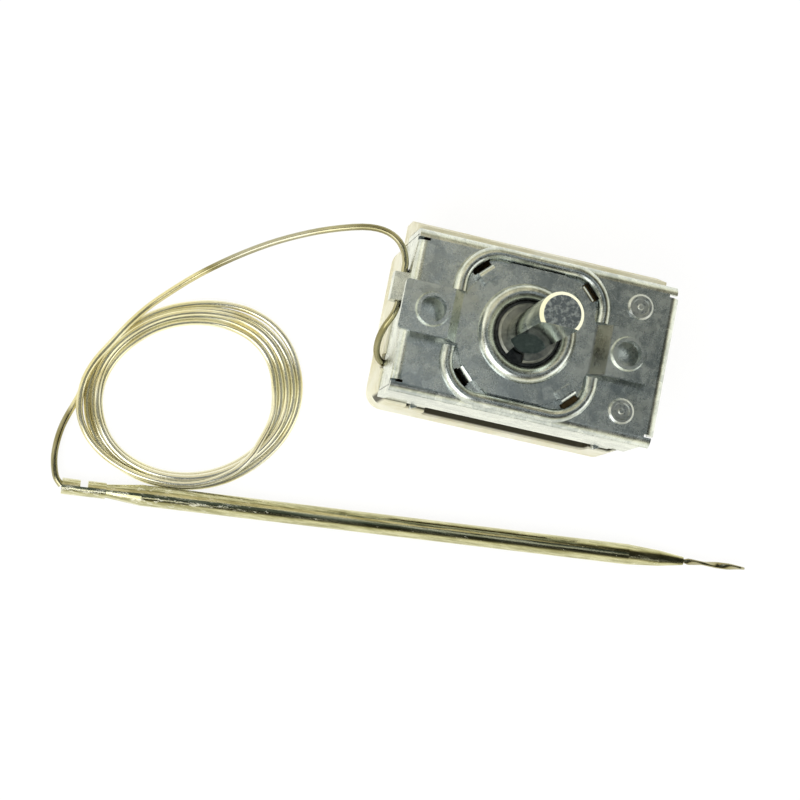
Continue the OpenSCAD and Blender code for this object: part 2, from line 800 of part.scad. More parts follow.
// Sweep of a round tube along a route: points between the given ones by a
// Catmull-Rom spline, one ring of points on each, and the two ends closed
function spline_point(p, i, t) =
    let (a = p[max(i - 1, 0)], b = p[i], c = p[i + 1], d = p[min(i + 2, len(p) - 1)])
    0.5 * ((2 * b) + (c - a) * t + (2 * a - 5 * b + 4 * c - d) * t * t
        + (3 * b - a - 3 * c + d) * t * t * t);
function spline(p, steps) = concat(
    [for (i = [0:len(p) - 2], s = [0:steps - 1]) spline_point(p, i, s / steps)],
    [p[len(p) - 1]]);
function unit(v) = v / norm(v);
function ring_at(q, i, r, sides) =
    let (t = unit(q[min(i + 1, len(q) - 1)] - q[max(i - 1, 0)]),
        side = unit(cross(t, [0, 0, 1])), up = cross(side, t))
    [for (k = [0:sides - 1]) q[i] + r * (cos(360 * k / sides) * side + sin(360 * k / sides) * up)];
module tube(route, r, steps, sides = 8) {
    q = spline(route, steps);
    rings = len(q);
    points = [for (i = [0:rings - 1]) each ring_at(q, i, r, sides)];
    walls = [for (i = [0:rings - 2], k = [0:sides - 1])
        [i * sides + k, i * sides + (k + 1) % sides, (i + 1) * sides + (k + 1) % sides, (i + 1) * sides + k]];
    first = [for (k = [sides - 1:-1:0]) k];
    last = [for (k = [0:sides - 1]) (rings - 1) * sides + k];
    polyhedron(points, concat([first], walls, [last]));
}

module capillary_lead() {
    color("darkkhaki")
        at_top()
            tube(lead_route, cap_r, 2);
}

module spindle() {
    top = spindle_len - plate_z;
    flat_z = bridge_t + flat_end;
    flat_y = -(spindle_over_flat - spindle_r);
    color("lightgray")
        at_top()
            difference() {
                union() {
                    translate([0, 0, washer_z + stop_t])
                        cylinder(r = spindle_r, h = ring_z - washer_z - stop_t);
                    translate([0, 0, ring_z + ring_t + 2 * face_gap])
                        cylinder(r = spindle_r, h = top - spindle_chamfer - ring_z - ring_t - 2 * face_gap);
                    translate([0, 0, top - spindle_chamfer])
                        cylinder(r1 = spindle_r, r2 = spindle_r - spindle_chamfer, h = spindle_chamfer);
                    translate([0, 0, washer_z])
                        cylinder(r = groove_r, h = top - spindle_chamfer - washer_z);
                    translate([0, 0, thread_end])
                        cylinder(r = thread_r, h = washer_z - thread_end + cut);
                }
                translate([-spindle_r - cut, flat_y - spindle_r, flat_z])
                    cube([2 * spindle_r + 2 * cut, spindle_r, top - flat_z + cut]);
            }
}

// Retaining ring in the spindle's groove; its gap opens to the front left
module retaining_ring() {
    color("dimgray")
        at_top()
            translate([0, 0, ring_z + face_gap / 2])
                rotate([0, 0, 252 + ring_gap / 2])
                    rotate_extrude(angle = 360 - ring_gap)
                        polygon([[groove_r, 0], [ring_r, 0], [ring_r, ring_t * 0.6],
                            [ring_r - ring_t * 0.4, ring_t], [groove_r, ring_t]]);
}

module stop_washer() {
    color("darkgray")
        at_top()
            translate([0, 0, washer_z])
                difference() {
                    union() {
                        cylinder(r = washer_r, h = stop_t);
                        rotate([0, 0, lug_start])
                            rotate_extrude(angle = lug_deg)
                                translate([groove_r + 0.5, 0])
                                    square([lug_r - groove_r - 0.5, stop_t]);
                    }
                    translate([0, 0, -cut])
                        cylinder(r = groove_r, h = stop_t + 2 * cut);
                }
}

module carriage() {
    color("tan")
        at_top()
            difference() {
                union() {
                    translate([0, 0, foot_z])
                        cylinder(r = hub_r, h = hub_h + foot_t);
                    translate([0, 0, foot_z])
                        cylinder(r = foot_r, h = foot_t);
                    translate([0, -tail_w / 2, foot_z])
                        cube([tail_end, tail_w, foot_t]);
                }
                translate([0, 0, foot_z - cut])
                    cylinder(r = thread_r + face_gap, h = hub_h + foot_t + 2 * cut);
            }
}

// Corrugated capsule: two pressed discs, welded at the rim, with the capillary's nipple
module diaphragm_capsule() {
    mid = capsule_t / 2;
    rim_t = 0.6;
    wave = 0.25;
    crest_r = [capsule_r - 2, capsule_r - 4.4];
    color("darkgoldenrod")
        at_top()
            translate([0, 0, capsule_z]) {
                difference() {
                    union() {
                        translate([0, 0, mid - rim_t / 2])
                            cylinder(r = capsule_r, h = rim_t);
                        cylinder(r = capsule_r - 0.9, h = capsule_t);
                    }
                    for (r = crest_r, z = [0, capsule_t])
                        translate([0, 0, z])
                            rotate_extrude()
                                translate([r, 0])
                                    circle(wave, $fn = 16);
                }
                translate([-nipple_end, nipple_y, mid])
                    rotate([0, 90, 0])
                        difference() {
                            cylinder(r = cap_r + 0.4, h = nipple_end - capsule_r + 0.6);
                            translate([0, 0, -cut])
                                cylinder(r = cap_r + face_gap, h = 1.2 + cut);
                        }
            }
}

module diaphragm_button() {
    color("silver")
        at_top()
            translate([0, 0, capsule_z - face_gap - button_t])
                cylinder(r1 = button_r - 0.2, r2 = button_r, h = button_t);
}

module pressure_pin() {
    top = capsule_z - face_gap - button_t;
    color("white")
        at_top()
            difference() {
                union() {
                    translate([0, 0, pin_tip + 0.35])
                        cylinder(r = pin_r, h = top - pin_tip - 0.35);
                    translate([0, 0, pin_tip])
                        cylinder(r1 = pin_r - 0.5, r2 = pin_r, h = 0.35);
                }
            }
}

module contact_arm() {
    x0 = -contact_x - 1.6;
    x1 = foot_rivet_x + 1.4;
    slit = 0.5;
    tongue_w = 2.2;
    tongue_x0 = -contact_x + 2.6;
    tongue_x1 = pivot_x - 4;
    color("chocolate")
        at_top()
            difference() {
                translate([0, 0, arm_z])
                    linear_extrude(arm_t)
                        round_rect(x0, x1, -arm_w / 2, arm_w / 2, 1);
                for (y = [-tongue_w / 2 - slit, tongue_w / 2])
                    translate([tongue_x0, y, arm_z - cut])
                        cube([tongue_x1 - tongue_x0, slit, arm_t + 2 * cut]);
                translate([tongue_x0, -tongue_w / 2 - slit, arm_z - cut])
                    cube([slit, tongue_w + 2 * slit, arm_t + 2 * cut]);
                translate([-contact_x, 0, arm_z - cut])
                    cylinder(r = 0.6, h = arm_t + 2 * cut);
                translate([foot_rivet_x, 0, arm_z - cut])
                    cylinder(r = foot_rivet_r + 2 * slide_gap, h = arm_t + 2 * cut);
            }
}

module moving_contact() {
    color("silver")
        at_top()
            translate([-contact_x, 0, arm_z]) {
                cylinder(r = 0.6, h = arm_t);
                translate([0, 0, arm_t])
                    cylinder(r = contact_r, h = contact_h * 0.6);
                translate([0, 0, arm_t + contact_h * 0.6])
                    cylinder(r1 = contact_r, r2 = contact_r - 0.2, h = contact_h * 0.4);
                translate([0, 0, -0.3])
                    cylinder(r = 0.9, h = 0.3);
            }
}

module capillary_tube() {
    color("darkkhaki")
        at_top()
            tube(tube_route, cap_r, 2);
}

// Outline of the coil: an ellipse as a polygon
function ellipse(a, b, n = 48) = [for (i = [0:n - 1]) [a * cos(360 * i / n), b * sin(360 * i / n)]];
module capillary_coil() {
    color("darkkhaki")
        at_top()
            translate([coil_at.x, coil_at.y, table_z])
                rotate([0, 0, coil_turn])
                    linear_extrude(coil_layers * 2 * cap_r)
                        difference() {
                            polygon(ellipse(coil_a, coil_b));
                            polygon(ellipse(coil_a - bundle_w, coil_b - bundle_w * 0.58));
                        }
}

module capillary_tail() {
    color("darkkhaki")
        at_top()
            tube(tail_route, cap_r, 2);
}

// Places a piece on the bulb's axis, which lies along +X after this
module on_bulb(along) {
    at_top()
        translate([bulb_at.x, bulb_at.y, table_z + bulb_r])
            rotate([0, 0, bulb_turn])
                translate([along, 0, 0])
                    children();
}

// Crimped ferrule, notched between its two bites
module bulb_ferrule() {
    bite = 1.1;
    color("slategray")
        on_bulb(-neck_len - ferrule_len)
            difference() {
                rotate([0, 90, 0])
                    cylinder(r = ferrule_r, h = ferrule_len);
                translate([ferrule_len / 2 - bite / 2, 0.1, -2])
                    cube([bite, 2, 4]);
                translate([-cut, 0, 0])
                    rotate([0, 90, 0])
                        cylinder(r = cap_r + face_gap, h = 1.2 + cut);
            }
}

// Round or pressed-flat slice of the bulb: its place along the axis, width and thickness
module bulb_slice(along, w, t) {
    translate([along, 0, 0])
        rotate([0, 90, 0])
            scale([t / w, 1, 1])
                cylinder(r = w / 2, h = 0.1);
}

module sensing_bulb() {
    mid = bulb_len + taper_len * 0.55;
    far = bulb_len + taper_len - 0.1;
    color("darkolivegreen")
        on_bulb(0) {
            rotate([0, 90, 0]) {
                translate([0, 0, -neck_len])
                    cylinder(r1 = neck_r, r2 = bulb_r, h = neck_len);
                cylinder(r = bulb_r, h = bulb_len);
            }
            hull() {
                bulb_slice(bulb_len - 0.1, 2 * bulb_r, 2 * bulb_r);
                bulb_slice(mid, 2.3, 1.5);
            }
            hull() {
                bulb_slice(mid, 2.3, 1.5);
                bulb_slice(far, stem_w + 0.2, stem_t + 0.1);
            }
        }
}

// Pinched stem that seals the bulb's far end
module seal_stem() {
    color("darkkhaki")
        on_bulb(bulb_len + taper_len)
            rotate([90, 0, 90])
                linear_extrude(stem_len)
                    round_rect(-stem_w / 2, stem_w / 2, -stem_t / 2, stem_t / 2, 0.2);
}

housing_shell();
mounting_bridge();
ceramic_base();
spindle_bush();
guide_bracket();
guide_rivets();
insulating_plate();
fixed_terminal();
fixed_contact();
common_terminal();
terminal_rivets();
calibration_screw();
capillary_lead();
spindle();
retaining_ring();
stop_washer();
carriage();
diaphragm_capsule();
diaphragm_button();
pressure_pin();
contact_arm();
moving_contact();
capillary_tube();
capillary_coil();
capillary_tail();
bulb_ferrule();
sensing_bulb();
seal_stem();
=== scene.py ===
import json
import math

import bpy
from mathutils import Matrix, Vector


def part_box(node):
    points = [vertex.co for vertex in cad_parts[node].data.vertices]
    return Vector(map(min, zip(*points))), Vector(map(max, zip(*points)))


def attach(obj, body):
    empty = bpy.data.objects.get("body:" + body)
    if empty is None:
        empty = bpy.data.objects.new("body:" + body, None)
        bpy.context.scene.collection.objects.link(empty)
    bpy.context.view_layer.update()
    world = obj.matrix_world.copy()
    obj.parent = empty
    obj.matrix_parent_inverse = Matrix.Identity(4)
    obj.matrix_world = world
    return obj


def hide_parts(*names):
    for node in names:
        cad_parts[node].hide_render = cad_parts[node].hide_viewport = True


# Capillary temperature control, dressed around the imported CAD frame.
# Everything is in metres; +Z is out along the spindle and -Y is the window's side.
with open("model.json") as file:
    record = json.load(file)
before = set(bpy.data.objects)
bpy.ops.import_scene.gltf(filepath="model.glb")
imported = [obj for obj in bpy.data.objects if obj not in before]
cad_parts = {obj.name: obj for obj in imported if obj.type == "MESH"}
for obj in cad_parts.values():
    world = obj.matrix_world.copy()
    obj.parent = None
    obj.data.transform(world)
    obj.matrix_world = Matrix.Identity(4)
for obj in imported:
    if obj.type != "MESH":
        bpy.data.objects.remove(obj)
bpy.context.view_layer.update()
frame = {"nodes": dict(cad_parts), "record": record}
nodes = frame["nodes"]
millimetre = 0.001
perMetre = 1000  # turns Object coordinates into millimetres in the finishes
print("frame loaded:", len(nodes), "nodes")


# Camera: the photograph's direction, distance and framing, without shift
camera = {
    "place": (-0.06735, -0.05926, 0.32605),
    "turnDegrees": (6.0018, -10.3236, 11.4705),
    "lens": 110.8,
    "sensor": 36,
    "nearClip": 0.01,
}
cameraData = bpy.data.cameras.new("photoCamera")
cameraData.lens = camera["lens"]
cameraData.sensor_width = camera["sensor"]
cameraData.clip_start = camera["nearClip"]
photoCamera = bpy.data.objects.new("photoCamera", cameraData)
photoCamera.location = camera["place"]
photoCamera.rotation_euler = [math.radians(a) for a in camera["turnDegrees"]]
bpy.context.scene.collection.objects.link(photoCamera)
bpy.context.scene.camera = photoCamera


# Shader maths: a socket that takes + - * with numbers and other sockets
class Wire:
    def __init__(self, finish, socket):
        self.finish, self.socket = finish, socket

    def maths(self, operation, first, second):
        return self.finish.add("ShaderNodeMath", {"operation": operation}, {0: first, 1: second})

    def __add__(self, other):
        return self.maths("ADD", self, other)

    def __sub__(self, other):
        return self.maths("SUBTRACT", self, other)

    def __rsub__(self, other):
        return self.maths("SUBTRACT", other, self)

    def __mul__(self, other):
        return self.maths("MULTIPLY", self, other)

    __radd__ = __add__
    __rmul__ = __mul__


class Finish:
    def __init__(self, name):
        self.material = bpy.data.materials.new(name)
        self.material.use_nodes = True
        self.tree = self.material.node_tree
        self.tree.nodes.clear()
        self.place = self.add("ShaderNodeTexCoord", output="Object")

    def add(self, kind, settings=None, values=None, output=0):
        node = self.tree.nodes.new(kind)
        for key, value in (settings or {}).items():
            setattr(node, key, value)
        for key, value in (values or {}).items():
            if isinstance(value, Wire):
                self.tree.links.new(value.socket, node.inputs[key])
            else:
                node.inputs[key].default_value = value
        return Wire(self, node.outputs[output])

    def stretched(self, scale, turn=(0, 0, 0)):
        return self.add("ShaderNodeMapping", None,
                        {"Vector": self.place, "Rotation": turn, "Scale": scale})

    def noise(self, scale, detail=4, roughness=0.55, place=None):
        return self.add("ShaderNodeTexNoise", None, {
            "Vector": place or self.place, "Scale": scale, "Detail": detail,
            "Roughness": roughness})

    def cells(self, scale):
        return self.add("ShaderNodeTexVoronoi", None,
                        {"Vector": self.place, "Scale": scale}, "Color")

    def spread(self, value, low, high, newLow=0, newHigh=1):  # smooth step between two values
        return self.add("ShaderNodeMapRange", {"interpolation_type": "SMOOTHSTEP"}, {
            "Value": value, "From Min": low, "From Max": high,
            "To Min": newLow, "To Max": newHigh})

    def size(self, value):
        return self.add("ShaderNodeMath", {"operation": "ABSOLUTE"}, {0: value})

    def axis(self, name):
        return self.add("ShaderNodeSeparateXYZ", None, {"Vector": self.place}, name)

    def mix(self, factor, first, second):
        return self.add("ShaderNodeMix", {"data_type": "RGBA"},
                        {0: factor, 6: first, 7: second}, 2)

    def bump(self, height, depth, strength):
        return self.add("ShaderNodeBump", None,
                        {"Height": height, "Distance": depth, "Strength": strength})

    def close(self, values):
        return self.show(self.add("ShaderNodeBsdfPrincipled", None, values))

    def show(self, shader):
        out = self.tree.nodes.new("ShaderNodeOutputMaterial")
        self.tree.links.new(shader.socket, out.inputs["Surface"])
        return self.material


def tone(red, green, blue):  # a colour as the eye sees it, 0 to 255, made linear
    return tuple((v / 255) ** 2.2 for v in (red, green, blue)) + (1,)


# Finishes
def galvanisedFinish():
    look = {"dark": tone(170, 177, 178), "light": tone(230, 235, 232),
            "soil": tone(176, 166, 128), "riserDark": tone(72, 60, 32), "roughness": (0.18, 0.32)}
    # Right strap where it climbs to its ear, in millimetres, and how soft the edges of its darker
    # patch are
    bend = {"from": 9.3, "to": 11.2, "half": 3.6, "low": -3.3, "soft": 0.3, "sideSoft": 0.1}
    f = Finish("galvanisedSheet")
    cloud = f.noise(120, 5, 0.6)
    speck = f.noise(1100, 6, 0.75)
    grain = f.noise(3200, 2, 0.5)
    spangle = f.add("ShaderNodeSeparateColor", None, {"Color": f.cells(640)})
    scratch = f.noise(1, 3, 0.6, f.stretched((90, 2600, 2600), (0, 0, 0.5)))
    lightness = cloud * 0.4 + speck * 0.35 + spangle * 0.1 + grain * 0.15
    colour = f.mix(f.spread(lightness, 0.34, 0.64), look["dark"], look["light"])
    colour = f.mix(f.spread(f.noise(70, 4), 0.56, 0.76, 0, 0.35), colour, look["soil"])
    x, y, z = (f.axis(name) * perMetre for name in "XYZ")
    riser = (f.spread(x, bend["from"], bend["from"] + bend["soft"])
             * f.spread(x, bend["to"], bend["to"] + bend["soft"], 1, 0)
             * f.spread(f.size(y), bend["half"], bend["half"] + bend["sideSoft"], 1, 0)
             * f.spread(z, bend["low"], bend["low"] + bend["soft"]))
    # the right strap's riser is made darker brown
    colour = f.mix(riser * f.spread(cloud, 0.25, 0.6, 0.9, 0.6), colour, look["riserDark"])
    rough = f.spread(cloud * 0.5 + speck * 0.5, 0.3, 0.7, *look["roughness"])
    return f.close({
        "Base Color": colour, "Metallic": 1, "Roughness": rough + scratch * 0.04,
        "Normal": f.bump(speck * 0.6 + scratch * 0.3 + cloud, 0.00003, 0.35)})


def ceramicFinish():
    look = {"light": tone(246, 244, 224), "dark": tone(228, 222, 188),
            "soil": tone(160, 150, 114), "shade": tone(62, 60, 44), "roughness": (0.45, 0.65)}
    # Painted shade on the walls of the contact chamber, in millimetres
    chamber = {"x": (-17.2, 19.2), "y": 11.8, "z": (-19.7, -13.7), "soft": 0.3, "upSoft": 0.1}
    f = Finish("creamSteatite")
    cloud = f.noise(160, 5, 0.6)
    grit = f.noise(2600, 3, 0.6)
    colour = f.mix(f.spread(cloud, 0.35, 0.68), look["light"], look["dark"])
    colour = f.mix(f.spread(f.noise(420, 6, 0.7), 0.6, 0.76, 0, 0.4), colour, look["soil"])
    x, y, z = (f.axis(name) * perMetre for name in "XYZ")
    (left, right), back, (low, high) = chamber["x"], chamber["y"], chamber["z"]
    soft, upSoft = chamber["soft"], chamber["upSoft"]
    paintedChamberShade = (f.spread(f.size(y), back - soft, back, 1, 0)
              * f.spread(x, left, left + soft) * f.spread(x, right - soft, right, 1, 0)
              * f.spread(z, low, low + upSoft) * f.spread(z, high - upSoft, high, 1, 0))
    return f.close({
        # painted shade: the chamber's walls behind the window are darkened to the shade colour
        "Base Color": f.mix(paintedChamberShade, colour, look["shade"]),
        "Roughness": f.spread(cloud, 0.3, 0.7, *look["roughness"]),
        "Normal": f.bump(grit * 0.5 + cloud, 0.00005, 0.4)})


def turnedFinish(name, dark, light, rough, ringScale=2400):
    f = Finish(name)
    rings = f.noise(1, 3, 0.6, f.stretched((60, 60, ringScale)))
    speck = f.noise(1500, 5, 0.7)
    colour = f.mix(f.spread(rings * 0.6 + speck * 0.4, 0.36, 0.64), dark, light)
    return f.close({
        "Base Color": colour, "Metallic": 1,
        "Roughness": f.spread(speck, 0.3, 0.7, rough, rough + 0.18),
        "Normal": f.bump(rings + speck * 0.4, 0.00002, 0.4)})


def spindleFinish():
    look = {"dark": tone(152, 160, 154), "light": tone(204, 211, 203),
            "edge": tone(244, 243, 222), "end": tone(146, 153, 157),
            "endSpeck": tone(220, 226, 226), "roughness": (0.07, 0.15), "endRougher": 0.16}
    tip = {"top": 17.3, "chamfer": 0.5}  # millimetres
    f = Finish("spindleSteel")
    z = f.axis("Z") * perMetre
    rings = f.noise(1, 3, 0.6, f.stretched((60, 60, 2400)))
    speck = f.noise(1500, 5, 0.7)
    colour = f.mix(f.spread(rings * 0.6 + speck * 0.4, 0.36, 0.64), look["dark"], look["light"])
    shoulder = tip["top"] - tip["chamfer"]
    # painted highlight: the chamfer band at the tip is painted pale cream in place of its glint
    colour = f.mix(f.spread(z, shoulder - 0.03, shoulder), colour, look["edge"])
    ending = f.spread(z, tip["top"] - 0.04, tip["top"] - 0.01)
    endColour = f.mix(f.spread(speck, 0.46, 0.62), look["end"], look["endSpeck"])
    colour = f.mix(ending, colour, endColour)
    return f.close({
        "Base Color": colour, "Metallic": 1,
        "Roughness": f.spread(speck, 0.3, 0.7, *look["roughness"]) + ending * look["endRougher"],
        "Normal": f.bump(rings * 0.4 + speck * 0.4, 0.00001, 0.2)})


def stripFinish(name, dark, light, rough):
    f = Finish(name)
    cloud = f.noise(240, 5, 0.6)
    speck = f.noise(1800, 4, 0.7)
    colour = f.mix(f.spread(cloud * 0.6 + speck * 0.4, 0.34, 0.66), dark, light)
    return f.close({
        "Base Color": colour, "Metallic": 1,
        "Roughness": f.spread(speck, 0.3, 0.7, rough, rough + 0.2),
        "Normal": f.bump(speck, 0.00002, 0.3)})


def capillaryFinish():
    look = {"brown": tone(222, 213, 168), "tin": tone(236, 234, 218),
            "pale": tone(250, 246, 214), "olive": tone(106, 100, 64),
            "roughness": (0.12, 0.22), "coilMetallic": 0.83}
    # The coil's middle, and how far from it the dull pale tube turns olive, in millimetres
    coil = {"at": (-42.4, -15.8, 0), "reach": (16.4, 17.8)}
    f = Finish("capillaryTube")
    patch = f.noise(70, 3, 0.5)
    speck = f.noise(2200, 4, 0.7)
    colour = f.mix(f.spread(patch, 0.42, 0.58), look["brown"], look["tin"])
    colour = f.mix(f.spread(f.noise(45, 2), 0.5, 0.62), colour, look["pale"])
    flat = f.add("ShaderNodeVectorMath", {"operation": "MULTIPLY"},
                 {0: f.place, 1: (perMetre, perMetre, 0)})
    apart = f.add("ShaderNodeVectorMath", {"operation": "DISTANCE"},
                  {0: flat, 1: coil["at"]}, "Value")
    free = f.spread(apart, *coil["reach"])
    colour = f.mix(free * f.spread(patch, 0.35, 0.6, 0.92, 0.6), colour, look["olive"])
    return f.close({
        "Base Color": colour, "Metallic": f.spread(free, 0, 1, look["coilMetallic"], 1),
        "Roughness": f.spread(speck, 0.3, 0.7, *look["roughness"]),
        "Normal": f.bump(speck, 0.00001, 0.12)})


def bulbFinish():
    look = {"dark": tone(158, 156, 122), "light": tone(210, 208, 176),
            "scuff": tone(236, 236, 226), "roughness": (0.1, 0.18), "scuffRougher": 0.2}
    handled = (-0.046, -0.02)  # metres along X; more scuffs at the ferrule's end
    f = Finish("bulbMetal")
    along = f.noise(1, 4, 0.6, f.stretched((120, 1800, 1800)))
    fleck = f.noise(1, 6, 0.75, f.stretched((700, 2600, 2600), (0, 0, 0.09)))
    nearFerrule = f.spread(f.axis("X"), *handled, 1, 0)
    scuff = f.spread(fleck + nearFerrule * 0.1, 0.62, 0.7)
    colour = f.mix(f.spread(along * 0.7 + fleck * 0.3, 0.38, 0.62), look["dark"], look["light"])
    colour = f.mix(scuff * 0.7, colour, look["scuff"])
    return f.close({
        "Base Color": colour, "Metallic": 1,
        "Roughness": f.spread(along, 0.35, 0.65, *look["roughness"]) + scuff * look["scuffRougher"],
        "Normal": f.bump(along + fleck * 0.5 - scuff * 0.6, 0.00002, 0.3)})


def laminateFinish():
    f = Finish("micaLaminate")
    flake = f.cells(420)
    value = f.add("ShaderNodeSeparateColor", None, {"Color": flake})
    colour = f.mix(value * 0.5 + f.noise(300) * 0.5, tone(120, 96, 62), tone(164, 138, 96))
    return f.close({"Base Color": colour, "Roughness": f.spread(value, 0, 1, 0.35, 0.55),
                    "Normal": f.bump(value, 0.00002, 0.3)})


finishes = {
    "galvanised_sheet": galvanisedFinish(),
    "steatite": ceramicFinish(),
    "brass": turnedFinish("turnedBrass", tone(150, 122, 70), tone(196, 170, 108), 0.25),
    "steel_inner": stripFinish("platedStrip", tone(120, 122, 120), tone(168, 170, 166), 0.28),
    "rivet_steel": stripFinish("rivetSteel", tone(160, 166, 168), tone(206, 210, 210), 0.24),
    "mica": laminateFinish(),
    "terminal_brass": stripFinish("terminalStrip", tone(160, 148, 112), tone(200, 190, 150),
                                  0.26),
    "contact_silver": stripFinish("contactSilver", tone(190, 190, 186), tone(222, 222, 218),
                                  0.22),
    "capillary_metal": capillaryFinish(),
    "spindle_steel": spindleFinish(),
    "dark_steel": stripFinish("springSteel", tone(56, 58, 60), tone(96, 98, 100), 0.25),
    "capsule_steel": turnedFinish("capsuleSteel", tone(120, 114, 100), tone(164, 158, 140),
                                  0.26, 300),
    "spring_bronze": stripFinish("springBronze", tone(128, 88, 52), tone(176, 132, 84), 0.24),
    "bulb_metal": bulbFinish(),
}
for row in frame["record"]["subparts"]:
    faces = nodes[row["node"]].data
    faces.materials.clear()
    faces.materials.append(finishes[row["material_slot"]])
print("finishes set:", len(finishes))


# Tube along a line of points, made by Geometry Nodes
def tubeAlong(name, points, radius, sides, material):
    line = bpy.data.curves.new(name + "Line", "CURVE")
    line.dimensions = "3D"
    run = line.splines.new("POLY")
    run.points.add(len(points) - 1)
    for knot, point in zip(run.points, points):
        knot.co = (*point, 1)
    source = bpy.data.objects.new(name + "Line", line)
    bpy.context.scene.collection.objects.link(source)

    tree = bpy.data.node_groups.new(name + "Tube", "GeometryNodeTree")
    socket = tree.interface.new_socket
    socket("Line", in_out="INPUT", socket_type="NodeSocketGeometry")
    radiusInput = socket("Radius", in_out="INPUT", socket_type="NodeSocketFloat")
    sidesInput = socket("Sides", in_out="INPUT", socket_type="NodeSocketInt")
    socket("Tube", in_out="OUTPUT", socket_type="NodeSocketGeometry")
    given = tree.nodes.new("NodeGroupInput")
    ring = tree.nodes.new("GeometryNodeCurvePrimitiveCircle")
    sweep = tree.nodes.new("GeometryNodeCurveToMesh")
    sweep.inputs["Fill Caps"].default_value = True
    smooth = tree.nodes.new("GeometryNodeSetShadeSmooth")
    real = tree.nodes.new("GeometryNodeRealizeInstances")
    paint = tree.nodes.new("GeometryNodeSetMaterial")
    paint.inputs["Material"].default_value = material
    result = tree.nodes.new("NodeGroupOutput")
    link = tree.links.new
    link(given.outputs["Radius"], ring.inputs["Radius"])
    link(given.outputs["Sides"], ring.inputs["Resolution"])
    link(given.outputs["Line"], sweep.inputs["Curve"])
    link(ring.outputs["Curve"], sweep.inputs["Profile Curve"])
    link(sweep.outputs["Mesh"], smooth.inputs[0])
    link(smooth.outputs[0], real.inputs[0])
    link(real.outputs[0], paint.inputs[0])
    link(paint.outputs[0], result.inputs[0])

    modifier = source.modifiers.new("sweep", "NODES")
    modifier.node_group = tree
    modifier[radiusInput.identifier] = radius
    modifier[sidesInput.identifier] = sides
    return meshFrom(name, source)


def meshFrom(name, source):  # the evaluated object as a plain mesh; the source goes
    graph = bpy.context.evaluated_depsgraph_get()
    mesh = bpy.data.meshes.new_from_object(source.evaluated_get(graph))
    bpy.data.objects.remove(source)
    piece = bpy.data.objects.new(name, mesh)
    bpy.context.scene.collection.objects.link(piece)
    return piece


def smoothLine(points, steps):  # a smooth curve that passes through every point
    last = len(points) - 1
    line = []
    for i in range(last):
        before, here, there, after = (Vector(points[max(0, min(last, i + k))])
                                      for k in (-1, 0, 1, 2))
        for s in range(steps):
            t = s / steps
            line.append(0.5 * (2 * here + (there - before) * t
                               + (2 * before - 5 * here + 4 * there - after) * t * t
                               + (3 * here - before - 3 * there + after) * t ** 3))
    return line + [Vector(points[last])]


# Capillary: held loop at the end wall, free lead, coil and tail; route and coil in millimetres
capillary = {
    "radius": 0.475 * millimetre,
    "plateZ": -4.1,  # the housing's top, which the route's heights are counted from
    "tableZ": -19.8,
    "held": [(-11.3, -2, -6.5), (-12.4, -2.3, -6.6), (-13.6, -3.6, -7.2), (-14.6, -5.2, -8.7),
             (-15.7, -6.3, -9.9), (-17, -6.7, -10.3), (-18.1, -6.3, -9.7), (-18.8, -5.3, -8.4),
             (-19, -3.8, -6.8), (-18.7, -2.2, -5.3), (-18.1, -0.7, -4.4), (-17.8, 0.8, -4.1),
             (-17.8, 2.4, -4.05), (-17.8, 4.2, -4.05), (-17.8, 6, -4.05)],
    "lead": [(-17.8, 6, -4.05), (-17.9, 7.1, -4), (-18.5, 8.6, -3.9), (-19.8, 10, -4),
             (-21.8, 10.8, -4.5), (-24.6, 10.8, -5.6), (-28.8, 9.8, -7.7), (-32.6, 8.4, -9.6),
             (-36.5, 6.5, -11.4), (-40.8, 3.8, -13.2), (-45.1, 0.5, -14.8), (-48.7, -2.9, -16),
             (-51.1, -5.5, -16.8), (-53.1, -8.3, -17.2), (-54.8, -11.2, -17.5),
             (-56.4, -14, -17.9), (-57.4, -17, -18.2)],
    "tail": [(-57.64, -19.49, -19.3), (-58.55, -22.3, -19.1), (-59.07, -24.3, -18.9),
             (-59.3, -26.4, -18.65), (-59.25, -28.5, -18.45), (-58.85, -30.3, -18.35),
             (-58.3, -31.6, -18.3), (-57.4, -32.45, -18.3)],
    "coilAt": (-42.4, -15.8), "coilTurn": 16.4, "coilHalves": (16.1, 13.4),
    # Stations: angle, how far inside the coil's outline and in which layer, in diameters
    "stations": [
        (180, -0.05, 0.95), (195, -0.5, 1), (210, -0.45, 1), (225, -0.25, 1), (245, -0.05, 1),
        (270, 0, 1), (295, 0.8, 1.75), (315, 2.3, 0.95),
        (340, 3.2, 0.3), (360, 3.5, 0), (405, 2.45, 0), (450, 2.75, 0), (495, 3.35, 0),
        (540, 2.95, 0), (585, 1.65, 0), (630, 1.35, 0), (675, 1.95, 0), (720, 2.55, 0),
        (765, 1.6, 0), (810, 1.9, 0), (855, 2.55, 0),
        (900, 2.5, 0.87), (945, 1.2, 0.9), (990, 0.9, 0.9), (1035, 1.45, 0.8), (1080, 1.6, 0),
        (1125, 0.8, 0.45), (1170, 1.45, 0.85), (1215, 2.1, 0.9),
        (1260, 2, 0), (1305, 0.8, 0), (1350, 0.5, 0), (1395, 0.95, 0), (1440, 0.6, 0),
        (1485, 0, 0), (1530, 0.95, 0), (1575, 1.7, 0),
        (1620, 1.05, 0), (1665, -0.1, 0), (1710, -0.38, 0), (1755, 0.05, 0), (1800, -0.3, 0),
        (1845, -1.25, 0), (1890, 0.15, 0), (1935, 1.2, 0), (1957, 0.98, 0), (1966, 0.7, 0)],
    "pointsPerTurn": 32,
    "freeSteps": 3, "heldSteps": 5,  # points of the drawn tube for each point of the route
    "sides": 20,
    "length": 0.486,  # metres, from the end wall to the ferrule
}


